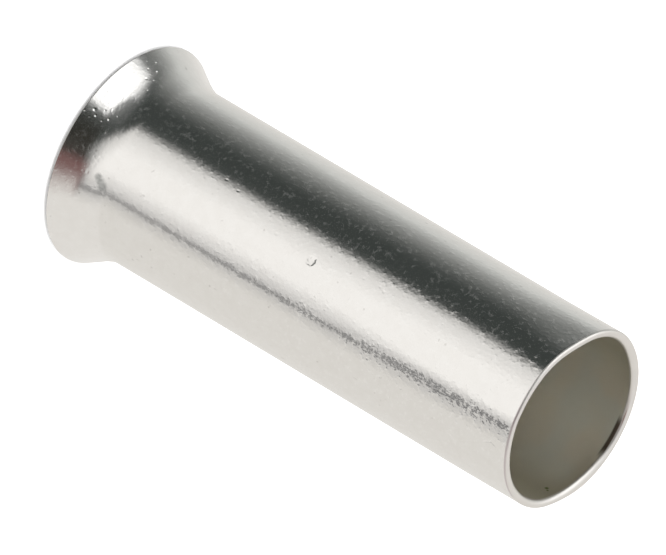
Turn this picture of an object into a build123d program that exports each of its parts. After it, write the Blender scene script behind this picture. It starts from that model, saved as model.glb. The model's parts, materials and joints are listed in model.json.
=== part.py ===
from build123d import *
import os
from math import cos, radians, sin, tan

# A bare wire end ferrule: one seamless tube of tin-plated copper, crimped on the stripped strands of a wire.
# The strands go in at the flared mouth. The tube stands on that mouth: the origin is at the mouth's centre,
# on the plane that its lip touches, and +Z runs along the axis to the plain end, where the tube was cut off.
# Lengths are in millimetres and angles in degrees.

# Tube, for a conductor of 10 square millimetres
BORE_DIAMETER = 4.5
WALL = 0.2
LENGTH = 15.0

# Flared mouth: a cone of even wall that leaves the barrel in a gentle bend
FLARE = 0.55              # how far the lip stands out from the barrel, all round
FLARE_HALF_ANGLE = 30.0   # between the cone's side and the axis
NECK_RADIUS = 1.2         # of the bend, on the outside of the tube

# Rounding of the four cut edges
LIP_ROUNDING = 0.05       # both edges of the mouth's lip, worn smooth by the flaring tool
BORE_EDGE_ROUNDING = 0.08   # inner edge of the plain end
OUTER_EDGE_ROUNDING = 0.03  # outer edge of the plain end

# What follows from these sizes
BARREL_RADIUS = BORE_DIAMETER / 2 + WALL
MOUTH_RADIUS = BARREL_RADIUS + FLARE
LARGEST_ROUNDING = 0.45 * WALL  # two roundings share each cut face


def rounding(wanted):
    """The rounding that a cut face of this wall has room for."""
    return min(wanted, LARGEST_ROUNDING)


def lip_corner():
    """Radius and height of the lip's outer corner before it is rounded.

    The lip is cut square to the cone's wall, so its inner corner is the one that touches the ground.
    Rounding takes a little off each corner, and the corner allows for that on both sides.
    """
    angle = radians(FLARE_HALF_ANGLE)
    lost = rounding(LIP_ROUNDING) * (sin(angle) + cos(angle) - 1)
    return MOUTH_RADIUS + lost, WALL * sin(angle) - lost


def outside_line():
    """The outside of the wall from the lip to the plain end, as radius and height."""
    lip = lip_corner()
    neck_height = lip[1] + (lip[0] - BARREL_RADIUS) / tan(radians(FLARE_HALF_ANGLE))
    neck = (BARREL_RADIUS, neck_height)
    end = (BARREL_RADIUS, LENGTH)
    return FilletPolyline(lip, neck, end, radius=NECK_RADIUS)


def round_edges(section):
    """The wall's section with its four corners rounded."""
    lip_inside = section.vertices().sort_by(Axis.Y)[0]
    lip_outside = section.vertices().sort_by(Axis.X)[-1]
    section = fillet([lip_inside, lip_outside], rounding(LIP_ROUNDING))
    bore_edge = section.vertices().group_by(Axis.Y)[-1].sort_by(Axis.X)[0]
    section = fillet(bore_edge, rounding(BORE_EDGE_ROUNDING))
    outer_edge = section.vertices().group_by(Axis.Y)[-1].sort_by(Axis.X)[-1]
    return fillet(outer_edge, rounding(OUTER_EDGE_ROUNDING))


def make_ferrule():
    """The whole ferrule: its wall's section turned once round the axis."""
    wall = offset(outside_line(), amount=WALL, side=Side.LEFT)
    section = round_edges(make_face(wall))
    return revolve(Plane.XZ * section, axis=Axis.Z)


def main():
    os.makedirs("parts", exist_ok=True)
    ferrule = make_ferrule()
    ferrule.label = "ferrule"
    export_step(ferrule, "parts/ferrule.step")


main()
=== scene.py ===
import json
from math import cos, degrees, exp, pi, radians, sin, tan

import bmesh
import bpy
from mathutils import Matrix, Vector, noise


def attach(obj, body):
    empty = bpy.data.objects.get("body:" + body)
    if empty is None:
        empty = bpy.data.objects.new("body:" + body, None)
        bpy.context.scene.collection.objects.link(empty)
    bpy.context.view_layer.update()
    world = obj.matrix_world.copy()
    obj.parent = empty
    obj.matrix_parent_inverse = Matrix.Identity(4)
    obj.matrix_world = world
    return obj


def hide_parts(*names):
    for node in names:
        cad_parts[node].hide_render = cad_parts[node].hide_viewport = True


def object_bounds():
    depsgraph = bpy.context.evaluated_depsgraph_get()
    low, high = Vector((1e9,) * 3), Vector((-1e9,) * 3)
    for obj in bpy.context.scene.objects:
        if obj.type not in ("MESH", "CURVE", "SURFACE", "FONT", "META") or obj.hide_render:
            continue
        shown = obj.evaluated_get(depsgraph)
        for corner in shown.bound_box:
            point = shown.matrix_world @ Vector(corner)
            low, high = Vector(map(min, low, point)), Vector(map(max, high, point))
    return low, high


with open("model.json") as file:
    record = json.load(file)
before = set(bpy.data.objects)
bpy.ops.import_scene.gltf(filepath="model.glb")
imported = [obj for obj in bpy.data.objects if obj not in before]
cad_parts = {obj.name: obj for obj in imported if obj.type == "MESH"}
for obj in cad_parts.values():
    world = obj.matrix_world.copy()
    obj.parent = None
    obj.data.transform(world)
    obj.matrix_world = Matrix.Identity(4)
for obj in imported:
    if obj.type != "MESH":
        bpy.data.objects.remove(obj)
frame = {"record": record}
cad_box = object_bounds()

# A bare wire end ferrule in bright tin plate, in metres. The tube stands on its flared mouth at the origin,
# with +Z along its axis. Angles round the tube start at +X, and -Y, which the camera looks at, is at 90
# degrees. In the lists of places below, angles are in degrees and all other measures in millimetres.

MM = 0.001
TURN = 2 * pi

# Sizes from the frame: the overall box, and the bore and the barrel of the record's mounts
MOUNTS = {mount["name"]: mount["dims"] for mount in frame["record"]["mounts"]}
LENGTH = cad_box[1].z
MOUTH_RADIUS = -cad_box[0].x
BARREL_RADIUS = MOUNTS["barrel"]["r_mm"] * MM
BORE_RADIUS = MOUNTS["conductor_bore"]["r_mm"] * MM
WALL = BARREL_RADIUS - BORE_RADIUS

# The flared mouth and the rounded edges. The neck bends gently beside the flare and more beside the barrel.
FLARE_ANGLE = radians(30)
FLARE_BEND = 2.4 * MM
BARREL_BEND = 1.2 * MM
LIP_ROUNDING = 0.007 * MM
BORE_EDGE_ROUNDING = 0.12 * MM
OUTER_EDGE_ROUNDING = 0.07 * MM

# How far the cut pressed the bore's edge inwards all round, how much further in places, and how deep into
# the bore that reaches. Each place has its angle, how far it reaches to both sides, and its rise.
BURR = 0.02 * MM
BURR_SHAPE = ((212, 26, 0.05), (300, 18, 0.07))
BURR_REACH = 0.5 * MM

# The tube isn't quite round. Each place has its angle, how far it reaches to both sides, and how far the
# wall stands off there. A slight ridge runs along the barrel, and the plain end was cut off aslant.
END_SHAPE = ((136, 18, -0.085), (5, 22, -0.012), (322, 16, -0.045), (70, 20, 0.012), (180, 16, 0.02))
END_REACH = 2.2 * MM
RIDGE = ((71, 5, 0.013),)
RIDGE_START = 8.5 * MM
RIDGE_REACH = 4 * MM
CUT_SLANT = 0.07 * MM
SLANT_REACH = 0.8 * MM

# The wall wavers a little, mostly inwards
WAVER = 0.003 * MM
WAVER_INWARDS = 0.6
WAVES_ROUND = 1.1
WAVE_START = 7.7
WAVE_HEIGHT = 5 * MM

# The mesh: steps round the tube, heights of its rows, steps of the bends and roundings, and rows of the
# flare, of the mouth's opening and of the burr
STEPS_ROUND = 288
ROW_HEIGHT = 0.12 * MM
BORE_ROW_HEIGHT = 0.4 * MM
LIP_STEPS = 5
FLARE_BEND_STEPS = 18
BARREL_BEND_STEPS = 14
OUTER_EDGE_STEPS = 9
BORE_EDGE_STEPS = 12
FLARE_ROWS = 8
MOUTH_ROWS = 6
BURR_ROWS = 4

# How finely the mesh is cut round a mark, how far beyond it, and how uneven its rim is
MARK_CUTS = 4
MARK_MARGIN = 0.6 * ROW_HEIGHT
RIM_UNEVENNESS = 0.35
RIM_GRAIN = 0.07 * MM

# Pits and fine scratches in the plating. Each mark has its reach to both sides, its depth and the places
# that it runs through, as angle and height. A pit has one place.
MARKS = (
    (0.150, 0.0150, ((91.6, 7.67),)),
    (0.050, 0.0050, ((97.8, 9.90),)), (0.040, 0.0040, ((99.1, 9.73),)), (0.045, 0.0045, ((94.7, 6.41),)),
    (0.045, 0.0040, ((89.9, 11.54),)), (0.040, 0.0040, ((81.5, 8.49),)), (0.035, 0.0030, ((98.4, 9.22),)),
    (0.040, 0.0060, ((58.1, 10.26),)), (0.050, 0.0080, ((51.9, 10.75),)), (0.035, 0.0060, ((52.3, 11.44),)),
    (0.040, 0.0080, ((36.7, 11.65),)), (0.035, 0.0070, ((43.4, 12.41),)), (0.035, 0.0060, ((46.2, 6.96),)),
    (0.040, 0.0040, ((107.3, 4.34),)), (0.035, 0.0040, ((105.0, 4.79),)), (0.035, 0.0040, ((99.1, 11.78),)),
    (0.050, 0.0100, ((9.8, 5.27),)), (0.050, 0.0100, ((3.1, 7.51),)), (0.045, 0.0080, ((26.0, 9.30),)),
    (0.045, 0.0090, ((37.6, 14.84),)), (0.040, 0.0080, ((354.0, 14.88),)),
    (0.040, 0.0080, ((232.0, 14.88),)),
    (0.038, 0.0060, ((98.9, 0.40),)), (0.022, 0.0030, ((103.9, 0.50),)), (0.034, 0.0045, ((101.2, 0.68),)),
    (0.024, 0.0030, ((105.3, 0.80),)), (0.024, 0.0040, ((96.7, 0.30),)), (0.044, 0.0060, ((101.1, 0.31),)),
    (0.030, 0.0065, ((97.9, 0.14),)), (0.022, 0.0040, ((98.4, 0.57),)),
    (0.030, 0.0035, ((133.6, 0.61),)), (0.026, 0.0030, ((129.0, 0.86),)), (0.036, 0.0040, ((142.1, 0.60),)),
    (0.026, 0.0030, ((138.5, 0.45),)), (0.022, 0.0025, ((140.7, 0.29),)), (0.026, 0.0030, ((136.5, 0.74),)),
    (0.036, 0.0045, ((145.4, 0.40),)), (0.022, 0.0030, ((149.0, 0.49),)),
    (0.080, 0.0014, ((63.9, 1.10), (68.1, 1.13), (70.5, 1.18), (69.2, 1.29), (63.2, 1.39))),
    (0.040, 0.0014, ((101.4, 0.71), (98.4, 0.69), (95.9, 0.73), (93.8, 0.76))),
    (0.022, 0.0045, ((42.1, 12.98), (39.1, 13.31), (52.8, 14.41), (51.3, 14.62))),
)

# The angle at which the peel is coarser, and the one at which the bore is painted lighter, there and
# opposite, with painted shade on the two sides between
COARSE_SIDE = 65
LIT_BORE_SIDE = 265

# Painted shade at the plain end's edges: a dark crescent on the far side of the bore's edge and a grey line
# on the near side, and a red-brown spot beside the crescent. Each has the colour, the middle and reach as
# angles, and the lowest and the highest place. They begin and end softly, over two heights.
EDGE_SHADE_AND_SPOT = (
    ((0.15, 0.12, 0.10), 267.0, 19.0, 14.78, 14.94),
    ((0.36, 0.20, 0.13), 251.0, 6.0, 14.82, 14.97),
    ((0.60, 0.55, 0.55), 47.0, 32.0, 14.85, 14.935),
)
EDGE_SHADE_START = 0.05
EDGE_SHADE_END = 0.03

# A dark patch on the neck and a green speck in the bore, as spots of an angle, a height and a reach. The
# neck is a little wider than the barrel where the dark patch is.
NECK_SPOTS = ((70.3, 1.11, 0.14), (68.2, 1.20, 0.16), (66.2, 1.29, 0.18))
NECK_SPOTS_RADIUS = BARREL_RADIUS + 0.03 * MM
BORE_SPECK = ((323.6, 14.57, 0.08), (325.5, 14.66, 0.05))

# The plating's colours, a painted shade for the bore's sides, and how fine and how deep its grain is
TIN = (0.84, 0.83, 0.81)
DULL_TIN = (0.80, 0.785, 0.76)
SPECK = (0.40, 0.38, 0.36)
DARK_NECK = (0.30, 0.31, 0.30)
WARM_CUT = (0.80, 0.777, 0.742)
GREY_CUT = (0.745, 0.725, 0.70)
BROWN_BORE = (0.99, 0.94, 0.84)
GREEN_BORE = (0.95, 0.95, 0.88)
SHADED_BORE = (0.59, 0.565, 0.47)
GREEN_SPECK = (0.20, 0.24, 0.10)
PEEL_SIZE = 0.11 * MM
PEEL_DEPTH = 0.0042 * MM
GRAIN_DEPTH = 0.002 * MM

# The camera, by what the photograph shows in its frame of 666 by 555 pixels
PICTURE = (666, 555)
PIXELS_PER_MM = 40.1332          # at the mouth
MOUTH_PIXEL = (125.13, 153.50)   # the middle of the mouth
AXIS_SLOPE = radians(30.764)     # of the axis in the picture, below the horizontal
AXIS_TO_SIGHT = radians(58.716)  # between the axis and the line of sight
CAMERA_DISTANCE = 500 * MM
SENSOR_WIDTH = 36.0
CLIP = (0.1, 2.0)                # the nearest and farthest it sees, in metres

# The studio's colours and how bright they are, as the tin mirrors them
STUDIO_UP = radians(131.5)   # the studio's own up, as an angle round the tube
WHITE_TABLE = (0.81, 0.79, 0.755)
TABLE_TOP = (0.86, 0.84, 0.81)
TABLE_EDGE = (0.64, 0.63, 0.62)
DARK_GAP = (0.09, 0.09, 0.095)
DARK_ROOM = (0.050, 0.057, 0.054)
BACKDROP = (0.76, 0.77, 0.75)
NEAR_BLACK = (0.026, 0.025, 0.02)
RED_BROWN = (0.20, 0.105, 0.10)
FRONT_LIGHT = (1.06, 1.043, 1.02)
TOP_LIGHT = (1.6, 1.6, 1.6)
CEILING = (0.9, 0.9, 0.9)
ROOM_LIGHT = 2.0

# The floor's colour, and half its width in metres
FLOOR = (0.9, 0.9, 0.9, 1)
FLOOR_HALF = 0.6


def smooth_step(x):
    x = min(max(x, 0.0), 1.0)
    return x * x * (3 - 2 * x)


# The wall's section, as pairs of radius and height

def arc(centre, radius, start, end, steps):
    """Points of an arc. Its angles are in degrees and count from outwards towards the plain end."""
    angles = [radians(start + (end - start) * i / steps) for i in range(steps + 1)]
    return [(centre[0] + radius * cos(a), centre[1] + radius * sin(a)) for a in angles]


def line(start, end, steps):
    """Points between two ends, without the ends."""
    return [tuple(s + (e - s) * i / steps for s, e in zip(start, end)) for i in range(1, steps)]


def wall_section():
    """The wall's outline: up the outside from the lip, over the cut end and down the bore."""
    slope = degrees(FLARE_ANGLE)
    # the lip's outer corner before its rounding, which takes off what is lost
    lost = LIP_ROUNDING * (sin(FLARE_ANGLE) + cos(FLARE_ANGLE) - 1)
    corner = (MOUTH_RADIUS + lost, WALL * sin(FLARE_ANGLE) - lost)
    # the centres of the neck's two bends, which meet halfway round, and of the roundings
    half, more = FLARE_ANGLE / 2, FLARE_BEND - BARREL_BEND
    flare_end = BARREL_RADIUS + BARREL_BEND + more * cos(half) - FLARE_BEND * cos(FLARE_ANGLE)
    neck_end = (corner[1] + (corner[0] - flare_end) / tan(FLARE_ANGLE)
                + FLARE_BEND * sin(FLARE_ANGLE) - more * sin(half))
    bend = (BARREL_RADIUS + BARREL_BEND, neck_end)
    wide_bend = (bend[0] + more * cos(half), bend[1] + more * sin(half))
    lip_out = (corner[0] - LIP_ROUNDING * (sin(FLARE_ANGLE) + cos(FLARE_ANGLE)),
               corner[1] + LIP_ROUNDING * (cos(FLARE_ANGLE) - sin(FLARE_ANGLE)))
    across = WALL - 2 * LIP_ROUNDING
    lip_in = (lip_out[0] - across * cos(FLARE_ANGLE), lip_out[1] - across * sin(FLARE_ANGLE))
    outer_edge = (BARREL_RADIUS - OUTER_EDGE_ROUNDING, LENGTH - OUTER_EDGE_ROUNDING)
    bore_edge = (BORE_RADIUS - BURR + BORE_EDGE_ROUNDING, LENGTH - BORE_EDGE_ROUNDING)
    burr_end = (BORE_RADIUS, bore_edge[1] - BURR_REACH)

    outside = arc(lip_in, LIP_ROUNDING, slope - 180, slope - 90, LIP_STEPS)
    outside += arc(lip_out, LIP_ROUNDING, slope - 90, slope, LIP_STEPS)
    neck = arc(wide_bend, FLARE_BEND, 180 + slope, 180 + slope / 2, FLARE_BEND_STEPS)
    neck += arc(bend, BARREL_BEND, 180 + slope / 2, 180, BARREL_BEND_STEPS)[1:]
    # a ring close to the lip keeps the lip's rounding out of the flare's shading
    start = (outside[-1][0] - LIP_ROUNDING * sin(FLARE_ANGLE),
             outside[-1][1] + LIP_ROUNDING * cos(FLARE_ANGLE))
    outside += [start] + line(start, neck[0], FLARE_ROWS) + neck
    rows = round((outer_edge[1] - bend[1]) / ROW_HEIGHT)
    outside += line(outside[-1], (BARREL_RADIUS, outer_edge[1]), rows)

    edge = arc(outer_edge, OUTER_EDGE_ROUNDING, 0, 90, OUTER_EDGE_STEPS)
    edge += arc(bore_edge, BORE_EDGE_ROUNDING, 90, 180, BORE_EDGE_STEPS)

    rows = round((burr_end[1] - bend[1]) / BORE_ROW_HEIGHT)
    bore = line(edge[-1], burr_end, BURR_ROWS) + [burr_end]
    bore += line(burr_end, (BORE_RADIUS, bend[1]), rows)
    bore += arc(bend, BARREL_BEND + WALL, 180, 180 + slope / 2, BARREL_BEND_STEPS // 2)
    bore += arc(wide_bend, FLARE_BEND + WALL, 180 + slope / 2, 180 + slope, FLARE_BEND_STEPS // 2)[1:]
    bore += line(bore[-1], outside[0], MOUTH_ROWS)
    return outside, edge, bore


# The tube as it really is

def swell(shape, angle):
    """The sum of a list of swells and dents at an angle in degrees, in metres."""
    total = 0.0
    for middle, reach, height in shape:
        away = (angle - middle + 180) % 360 - 180
        total += height * MM * exp(-(away / reach) ** 2)
    return total


def shaped(angle, radius, height):
    """Where a point of the perfectly round tube really is."""
    turned = degrees(angle)
    if radius < BORE_RADIUS + BORE_EDGE_ROUNDING:
        radius -= smooth_step((height - LENGTH + BURR_REACH) / BURR_REACH) * swell(BURR_SHAPE, turned)
    radius += smooth_step((height - LENGTH + END_REACH) / END_REACH) * swell(END_SHAPE, turned)
    radius += smooth_step((height - RIDGE_START) / RIDGE_REACH) * swell(RIDGE, turned)
    wave = Vector((WAVES_ROUND * cos(angle), WAVES_ROUND * sin(angle) + WAVE_START, height / WAVE_HEIGHT))
    radius += (noise.noise(wave) - WAVER_INWARDS) * WAVER
    slant = smooth_step((height - LENGTH + SLANT_REACH) / SLANT_REACH)
    height -= slant * CUT_SLANT * (1 + sin(angle)) / 2
    return Vector((radius * cos(angle), -radius * sin(angle), height))


def add_rings(mesh, section):
    """A ring of the tube for each point of the section."""
    angles = [TURN * i / STEPS_ROUND for i in range(STEPS_ROUND)]
    return [[mesh.verts.new(shaped(angle, *point)) for angle in angles] for point in section]


def outside_place(outside, angle, height):
    """The point of the outside at an angle in degrees and a height in millimetres."""
    for (radius, low), (next_radius, high) in zip(outside, outside[1:]):
        if low <= height * MM <= high:
            radius += (next_radius - radius) * (height * MM - low) / (high - low)
            break
    return shaped(radians(angle), radius, height * MM)


def distance(path, point):
    """How far a point is from a path."""
    nearest = min((point - corner).length for corner in path)
    for start, end in zip(path, path[1:]):
        share = (point - start).dot(end - start) / (end - start).length_squared
        if 0 < share < 1:
            nearest = min(nearest, (point - start.lerp(end, share)).length)
    return nearest


def press_marks(mesh, outside):
    """Refines the mesh round the pits and scratches and presses them in, with uneven rims."""
    centres = [(face, face.calc_center_median()) for face in mesh.faces]
    marks, near = [], set()
    for reach, depth, places in MARKS:
        path = [outside_place(outside, *place) for place in places]
        margin = reach * MM + MARK_MARGIN
        low = min(place.z for place in path) - margin
        high = max(place.z for place in path) + margin
        marks.append((path, reach * MM, depth * MM, low, high))
        level = [(face, centre) for face, centre in centres if low < centre.z < high]
        near.update(face for face, centre in level if distance(path, centre) < margin)
    mesh.edges.index_update()
    edges = sorted({edge for face in near for edge in face.edges}, key=lambda edge: edge.index)
    bmesh.ops.subdivide_edges(mesh, edges=edges, cuts=MARK_CUTS, use_grid_fill=True)
    for path, reach, depth, low, high in marks:
        for vert in [vert for vert in mesh.verts if low < vert.co.z < high]:
            uneven = 1 + RIM_UNEVENNESS * noise.noise(vert.co / RIM_GRAIN)
            share = distance(path, vert.co) / (reach * uneven)
            if share < 1:
                inward = -Vector((vert.co.x, vert.co.y, 0)).normalized()
                vert.co += inward * depth * (1 - share ** 4) ** 2


def tube_mesh():
    outside, edge, bore = wall_section()
    # the materials in make_tube's order: the outside, the cut end and the bore
    kinds = [0] * len(outside) + [1] * (len(edge) - 1) + [2] * (len(bore) + 1)
    tube = bmesh.new()
    rings = add_rings(tube, outside + edge + bore)
    for j, kind in enumerate(kinds):
        ring, above = rings[j], rings[(j + 1) % len(rings)]
        for i in range(STEPS_ROUND):
            n = (i + 1) % STEPS_ROUND
            face = tube.faces.new((ring[i], above[i], above[n], ring[n]))
            face.material_index = kind
            face.smooth = True
    press_marks(tube, outside)
    # the faces beside the refined ones have corners in line, which split into triangles without an area
    many_sided = [face for face in tube.faces if len(face.verts) > 4]
    bmesh.ops.triangulate(tube, faces=many_sided, ngon_method="BEAUTY")
    bmesh.ops.recalc_face_normals(tube, faces=tube.faces)
    mesh = bpy.data.meshes.new("tinned_tube")
    tube.to_mesh(mesh)
    tube.free()
    return mesh


# Materials

class Tree:
    """A node tree with short calls for its nodes. A value is a number, a tuple or another node's output."""

    def __init__(self, owner):
        owner.use_nodes = True
        self.nodes, self.links = owner.node_tree.nodes, owner.node_tree.links
        self.nodes.clear()

    def put(self, socket, value):
        if isinstance(value, bpy.types.NodeSocket):
            self.links.new(value, socket)
        else:
            socket.default_value = value

    def node(self, kind, inputs=None, **settings):
        made = self.nodes.new(kind)
        for name, value in settings.items():
            setattr(made, name, value)
        for name, value in (inputs or {}).items():
            self.put(made.inputs[name], value)
        return made

    def math(self, operation, *values):
        return self.node("ShaderNodeMath", dict(enumerate(values)), operation=operation).outputs[0]

    def times(self, *values):
        product = values[0]
        for value in values[1:]:
            product = self.math("MULTIPLY", product, value)
        return product

    def largest(self, *values):
        most = values[0]
        for value in values[1:]:
            most = self.math("MAXIMUM", most, value)
        return most

    def dot(self, a, b):
        return self.node("ShaderNodeVectorMath", {0: a, 1: b}, operation="DOT_PRODUCT").outputs["Value"]

    def rise(self, value, low, high, smooth=True):
        """0 at low and 1 at high and beyond, with a smooth or a straight way between them."""
        kind = "SMOOTHSTEP" if smooth else "LINEAR"
        inputs = {"Value": value, "From Min": low, "From Max": high}
        return self.node("ShaderNodeMapRange", inputs, interpolation_type=kind).outputs["Result"]

    def band(self, value, start, full, fading, end):
        """1 between full and fading, 0 outside start and end, and smooth in between."""
        return self.times(self.rise(value, start, full), self.rise(value, end, fading))

    def height(self, place):
        return self.node("ShaderNodeSeparateXYZ", {0: place}).outputs["Z"]

    def scale(self, value, low, high):
        """A value from 0 to 1, brought between low and high."""
        return self.math("MULTIPLY_ADD", value, high - low, low)

    def mix(self, share, a, b):
        """Colour a where share is 0 and b where it is 1."""
        made = self.node("ShaderNodeMix", {"Factor": share}, data_type="RGBA")
        self.put(made.inputs[6], (*a, 1) if isinstance(a, tuple) else a)
        self.put(made.inputs[7], (*b, 1) if isinstance(b, tuple) else b)
        return made.outputs[2]

    def noise(self, place, size, detail=1.0):
        inputs = {"Vector": place, "Scale": 1 / size, "Detail": detail, "Roughness": 0.5}
        return self.node("ShaderNodeTexNoise", inputs).outputs["Fac"]

    def metal(self, colour, roughness, height, depth, metallic=1.0):
        """Ends the tree in a metal with a bump of the given height field."""
        bump = self.node("ShaderNodeBump", {"Height": height, "Strength": 1.0, "Distance": depth})
        shader = self.node("ShaderNodeBsdfPrincipled", {
            "Base Color": colour, "Metallic": metallic, "Roughness": roughness,
            "Normal": bump.outputs["Normal"]})
        self.node("ShaderNodeOutputMaterial", {"Surface": shader.outputs[0]})


def new_tree(name):
    material = bpy.data.materials.new(name)
    tree = Tree(material)
    return material, tree, tree.node("ShaderNodeTexCoord").outputs["Object"]


def towards(angle, radius):
    """A vector. A place at the radius, dotted with it, gives the cosine of how far it is from the angle."""
    return (cos(radians(angle)) / radius, -sin(radians(angle)) / radius, 0)


def spotted(tree, place, spots, radius):
    """1 on a list of soft spots at a radius, and 0 elsewhere."""
    shares = []
    for angle, height, reach in spots:
        middle = shaped(radians(angle), radius, height * MM)
        away = tree.node("ShaderNodeVectorMath", {0: place, 1: middle}, operation="DISTANCE")
        shares.append(tree.rise(away.outputs["Value"], reach * MM, 0.3 * reach * MM))
    return tree.largest(*shares)


def bright_tin():
    """Bright tin plate: glossy, with a fine uneven peel that is a little coarser towards the plain end."""
    material, tree, place = new_tree("bright_tin")
    height = tree.height(place)
    growth = tree.rise(height, 2 * MM, LENGTH, smooth=False)
    coarse = tree.rise(tree.dot(place, towards(COARSE_SIDE, BARREL_RADIUS)), 0.75, 0.95)
    coarse = tree.times(growth, tree.scale(coarse, 0.45, 1.05))

    # the peel, with grains on it, comes in soft patches and is weaker on the flare
    calm = tree.scale(tree.rise(height, 0.3 * MM, 2.5 * MM), 0.7, 1.0)
    patches = tree.rise(tree.noise(place, 0.9 * MM), 0.3, 0.7)
    peel = tree.noise(place, PEEL_SIZE, detail=1.0)
    grains = tree.times(tree.rise(tree.noise(place, PEEL_SIZE, detail=0.5), 0.56, 0.86), 0.5)
    strength = tree.times(calm, tree.scale(patches, 0.75, 1.25), tree.scale(coarse, 0.45, 1.25))
    surface = tree.times(tree.math("ADD", peel, grains), strength)

    dull = tree.rise(tree.noise(place, 0.3 * MM, detail=3.0), 0.35, 0.7)
    colour = tree.mix(tree.times(dull, 0.4), TIN, DULL_TIN)
    specks = tree.rise(tree.noise(place, 0.12 * MM, detail=0.0), 0.78, 0.88)
    colour = tree.mix(tree.times(specks, 0.3), colour, SPECK)
    # a dark patch on the neck, darker in places
    dark_patch = tree.scale(tree.noise(place, 0.07 * MM), 0.4, 1.0)
    dark_patch = tree.times(spotted(tree, place, NECK_SPOTS, NECK_SPOTS_RADIUS), dark_patch)
    colour = tree.mix(dark_patch, colour, DARK_NECK)

    haze = tree.rise(tree.noise(place, PEEL_SIZE, detail=0.0), 0.56, 0.80)
    metallic = tree.scale(haze, 1.0, 0.972)
    tree.metal(colour, tree.scale(coarse, 0.165, 0.11), surface, PEEL_DEPTH, metallic)
    return material


def with_edge_shade(tree, place, colour):
    """A colour with the painted shade of the plain end's edges, and the red-brown spot, on it."""
    height = tree.height(place)
    for edge_colour, middle, reach, low, high in EDGE_SHADE_AND_SPOT:
        side = tree.dot(place, towards(middle, BORE_RADIUS))
        near = tree.rise(side, cos(radians(reach)), cos(radians(0.6 * reach)))
        level = tree.band(height, low * MM, (low + EDGE_SHADE_START) * MM, (high - EDGE_SHADE_END) * MM, high * MM)
        # paints the edges' shade, and the red-brown spot, over the colour
        colour = tree.mix(tree.times(near, level), colour, edge_colour)
    return colour


def cut_tin():
    """The cut end: light and fairly matt, with fine marks of the cut."""
    material, tree, place = new_tree("cut_tin")
    grain = tree.noise(place, 0.05 * MM, detail=2.0)
    patches = tree.noise(place, 0.5 * MM)
    # the cut end's colour, with painted shade at its edges and the red-brown spot
    colour = with_edge_shade(tree, place, tree.mix(patches, WARM_CUT, GREY_CUT))
    tree.metal(colour, tree.scale(patches, 0.36, 0.46), grain, GRAIN_DEPTH)
    return material


def dull_bore():
    """The bore, where the plating is thin and dull: olive grey with soft patches, and painted shade on two
    sides.
    """
    material, tree, place = new_tree("dull_bore")
    patches = tree.rise(tree.noise(place, 1.2 * MM), 0.35, 0.65)
    grain = tree.noise(place, 0.12 * MM, detail=2.0)
    light = tree.math("ABSOLUTE", tree.dot(place, towards(LIT_BORE_SIDE, BORE_RADIUS)))
    colour = tree.mix(patches, BROWN_BORE, GREEN_BORE)
    # painted shade on the two sides between the lit side and its opposite
    colour = tree.mix(tree.rise(light, 0.42, 1.0), SHADED_BORE, colour)
    colour = tree.mix(spotted(tree, place, BORE_SPECK, BORE_RADIUS), colour, GREEN_SPECK)
    # painted shade at the bore's edge, and the red-brown spot
    colour = with_edge_shade(tree, place, colour)
    deep = tree.rise(tree.height(place), LENGTH, LENGTH - 2.5 * MM)
    tree.metal(colour, tree.scale(grain, 0.40, 0.48), grain, GRAIN_DEPTH, tree.scale(deep, 0.965, 0.87))
    return material


def pale_floor():
    material = bpy.data.materials.new("pale_floor")
    tree = Tree(material)
    shader = tree.node("ShaderNodeBsdfDiffuse", {"Color": FLOOR})
    tree.node("ShaderNodeOutputMaterial", {"Surface": shader.outputs[0]})
    return material


# The pieces

def make_tube():
    tube = bpy.data.objects.new("tinned_tube", tube_mesh())
    bpy.context.collection.objects.link(tube)
    for material in (bright_tin(), cut_tin(), dull_bore()):
        tube.data.materials.append(material)
    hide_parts("ferrule")
    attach(tube, "root")


def make_floor():
    """A plain floor under the mouth. The tin doesn't mirror it, but the studio's table instead."""
    half = FLOOR_HALF
    corners = [(-half, -half, 0), (half, -half, 0), (half, half, 0), (-half, half, 0)]
    mesh = bpy.data.meshes.new("floor")
    mesh.from_pydata(corners, [], [(0, 1, 2, 3)])
    mesh.materials.append(pale_floor())
    floor = bpy.data.objects.new("floor", mesh)
    bpy.context.collection.objects.link(floor)
    floor.visible_glossy = False


# The studio

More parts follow.
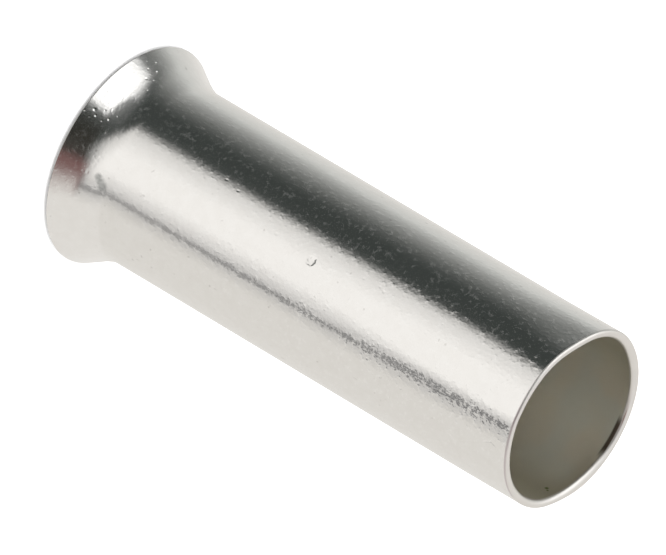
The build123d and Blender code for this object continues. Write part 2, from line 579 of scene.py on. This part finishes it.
def surroundings(tree):
    """What the tin mirrors, by direction: around the tube's axis in degrees, and along it from -1 to 1.

    Most numbers below are places, around or along: where a thing begins and where it is full.
    """
    sight = tree.node("ShaderNodeTexCoord").outputs["Generated"]
    up = (cos(STUDIO_UP), -sin(STUDIO_UP), 0)
    side = (-up[1], up[0], 0)
    turned = tree.math("ARCTAN2", tree.dot(sight, up), tree.dot(sight, side))
    around = tree.math("WRAP", tree.times(turned, 180 / pi), 290.0, -70.0)
    along = tree.dot(sight, (0, 0, 1))

    def beyond(limit, factor):
        """How far along is beyond a limit, times a factor."""
        return tree.times(tree.math("MAXIMUM", tree.math("SUBTRACT", along, limit), 0.0), factor)

    def less(value, *others):
        for other in others:
            value = tree.math("SUBTRACT", value, other)
        return value

    # the backdrop curves up out of the table on the far side and falls off into the dark room
    rest = less(around, tree.times(along, -8), beyond(-0.05, 75), -4.2)
    far = tree.math("MINIMUM", tree.math("POWER", tree.rise(rest, 112, 180, smooth=False), 1.85), 0.86)
    colour = tree.mix(far, DARK_ROOM, BACKDROP)

    # softbox overhead, with its glow
    left = tree.rise(less(around, beyond(0.25, -100), beyond(0.35, -120), beyond(0.43, 220)), 98, 108)
    right = tree.rise(less(around, tree.times(along, 90), beyond(0.26, 120), 112), 9, -7)
    top = tree.times(left, right, tree.rise(along, 0.045, 0.39))
    glow = tree.times(tree.rise(around, 58, 92), right, tree.rise(along, -0.05, 0.36), 0.1)
    colour = tree.mix(tree.largest(top, glow), colour, TOP_LIGHT)

    # past the front softbox the room is nearly black, with something red brown beside it
    black = tree.times(tree.rise(along, 0.33, 0.42), tree.band(around, 5, 22, 42, 76))
    colour = tree.mix(black, colour, NEAR_BLACK)
    red = tree.times(tree.rise(along, 0.19, 0.31), tree.band(around, -26, -16, 14, 27))
    colour = tree.mix(red, colour, RED_BROWN)

    # softbox by the camera, over the table's near side, and the verge between the two
    verge = tree.times(tree.band(around, -28, -10, 12, 30), tree.rise(along, 0.30, 0.17))
    colour = tree.mix(verge, colour, TABLE_EDGE)
    right = less(around, beyond(-0.38, -45), beyond(0.05, -22), 81.2)
    left = tree.rise(less(around, beyond(0.15, 70)), -1.5, 20.5, smooth=False)
    fall = tree.scale(tree.rise(right, -36, -4), 1.0, 0.76)
    front = tree.times(tree.rise(right, 7, -9), left, tree.rise(along, 0.5, 0.01), fall)
    colour = tree.mix(front, colour, FRONT_LIGHT)

    # the table, out of focus towards its edge, and the thin dark gap behind it
    past_mouth = tree.times(tree.rise(along, 0.25, 0.38), tree.rise(around, 12, -20))
    near = tree.largest(tree.rise(around, -4, -23), past_mouth)
    table = tree.largest(near, tree.rise(around, 172, 210, smooth=False))
    white = tree.mix(tree.rise(along, -0.5, -0.4), WHITE_TABLE, TABLE_TOP)
    colour = tree.mix(table, colour, white)
    gap = tree.times(tree.band(around, -8.6, -5.0, -4.8, -1.2), tree.rise(along, 0.3, 0.2))
    colour = tree.mix(gap, colour, DARK_GAP)

    # a light ceiling past the plain end, and nothing light past the mouth
    colour = tree.mix(tree.rise(along, -0.66, -0.80), colour, DARK_ROOM)
    return tree.mix(tree.rise(along, 0.78, 0.92), colour, CEILING)


def make_studio():
    """Soft light all round, and for the tin's reflections a white table, a backdrop and softboxes."""
    world = bpy.data.worlds.new("studio")
    bpy.context.scene.world = world
    world.cycles.sampling_method = "NONE"
    tree = Tree(world)
    mirrored = tree.node("ShaderNodeBackground", {"Color": surroundings(tree)})
    soft = tree.node("ShaderNodeBackground", {"Color": (1, 1, 1, 1), "Strength": ROOM_LIGHT})
    glossy = tree.node("ShaderNodeLightPath").outputs["Is Glossy Ray"]
    pick = tree.node("ShaderNodeMixShader", {0: glossy, 1: soft.outputs[0], 2: mirrored.outputs[0]})
    tree.node("ShaderNodeOutputWorld", {"Surface": pick.outputs[0]})


# The camera

def make_camera():
    """The photograph's camera: its place round the tube, its roll and its framing."""
    across = sin(AXIS_TO_SIGHT)
    axis = Vector((across * cos(AXIS_SLOPE), across * sin(AXIS_SLOPE), -cos(AXIS_TO_SIGHT)))
    side = Vector((-sin(AXIS_SLOPE), cos(AXIS_SLOPE), 0))
    # the rows are the picture's right, its down and the line of sight
    seen = Matrix((side, axis.cross(side), axis)).transposed()
    focal = PIXELS_PER_MM / MM * CAMERA_DISTANCE
    place = seen.transposed() @ Vector((0, 0, -CAMERA_DISTANCE))
    # the line of sight through the middle of the picture, with the mouth's middle at its own pixel
    middle = [(size / 2 - pixel) / focal for size, pixel in zip(PICTURE, MOUTH_PIXEL)]
    forward = (seen.transposed() @ Vector((*middle, 1))).normalized()
    right = (seen[0] - forward * seen[0].dot(forward)).normalized()
    up = right.cross(forward)
    camera = bpy.data.objects.new("camera", bpy.data.cameras.new("camera"))
    bpy.context.collection.objects.link(camera)
    camera.matrix_world = Matrix.Translation(place) @ Matrix((right, up, -forward)).transposed().to_4x4()
    camera.data.sensor_width = SENSOR_WIDTH
    camera.data.lens = SENSOR_WIDTH * focal / PICTURE[0]
    camera.data.clip_start, camera.data.clip_end = CLIP
    bpy.context.scene.camera = camera


make_tube()
make_floor()
make_studio()
make_camera()
bpy.context.scene.view_settings.view_transform = "Standard"
